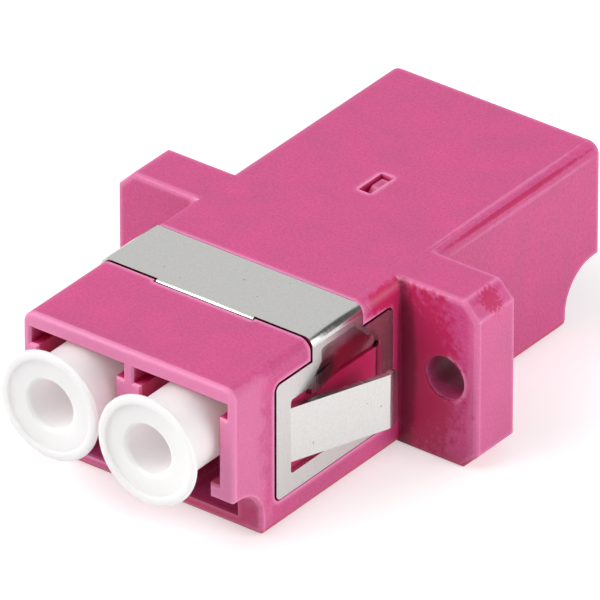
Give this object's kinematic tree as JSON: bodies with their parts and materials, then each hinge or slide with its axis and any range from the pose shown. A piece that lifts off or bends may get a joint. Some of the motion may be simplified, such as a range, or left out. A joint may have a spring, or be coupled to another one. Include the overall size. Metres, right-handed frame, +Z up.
{
  "type": "fibre optic adapter",
  "caption": "Flanged duplex fibre optic adapter: moulded block with square ports at both ends, split alignment sleeves, a folded panel spring clip and push-in dust caps.",
  "frame": {"origin": "midway between the two flange holes, on the flange's front face", "axes": "+X across the two ports, +Y along the ports from the capped front to the rear, +Z up, away from the latch keyways"},
  "size_m": [0.022, 0.0323, 0.0094],
  "materials": {
    "housing_plastic": "satin",
    "holder_plastic": "satin",
    "sleeve_ceramic": "polished",
    "clip_steel": "satin",
    "cap_plastic": "satin"
  },
  "bodies": {
    "adapter": {"housing": "housing_plastic", "sleeve_holder": "holder_plastic", "sleeve_left": "sleeve_ceramic", "sleeve_right": "sleeve_ceramic", "spring_clip": "clip_steel"},
    "left_cap": {"dust_cap_left": "cap_plastic"},
    "right_cap": {"dust_cap_right": "cap_plastic"}
  },
  "joints": [
    {"name": "left_cap_slide", "type": "slide", "parent": "adapter", "child": "left_cap", "axis": [0, -1, 0], "range_m": [-0.0012, 0.012]},
    {"name": "right_cap_slide", "type": "slide", "parent": "adapter", "child": "right_cap", "axis": [0, -1, 0], "range_m": [-0.0016, 0.012]}
  ]
}
